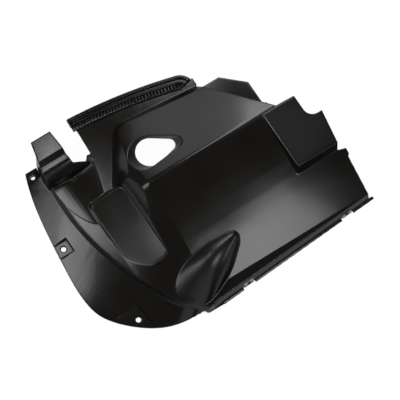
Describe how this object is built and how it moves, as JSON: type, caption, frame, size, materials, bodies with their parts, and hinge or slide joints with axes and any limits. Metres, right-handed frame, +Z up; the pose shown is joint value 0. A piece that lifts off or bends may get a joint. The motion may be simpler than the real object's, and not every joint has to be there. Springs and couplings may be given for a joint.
{
  "type": "wheel arch liner",
  "caption": "Moulded black wheel arch liner section with a curved fixing flange, drop hole, raised pad, rubber edge seal and steel edge clips.",
  "frame": {"origin": "centre of the middle flange hole, on the plane that the flange edge lies on", "axes": "+Z up through the dome, away from the wheel; +X along the bottom lip towards the open end; +Y across the panel towards the top edge seal"},
  "size_m": [0.4848, 0.3951, 0.08],
  "materials": {
    "moulded_plastic": "satin black moulded polypropylene with a fine grain",
    "seal_rubber": "matte black extruded rubber",
    "clip_steel": "bright zinc-plated spring steel"
  },
  "bodies": {
    "root": {"liner_shell": "moulded_plastic", "top_seal": "seal_rubber", "edge_clip_left": "clip_steel", "edge_clip_right": "clip_steel"}
  },
  "joints": []
}
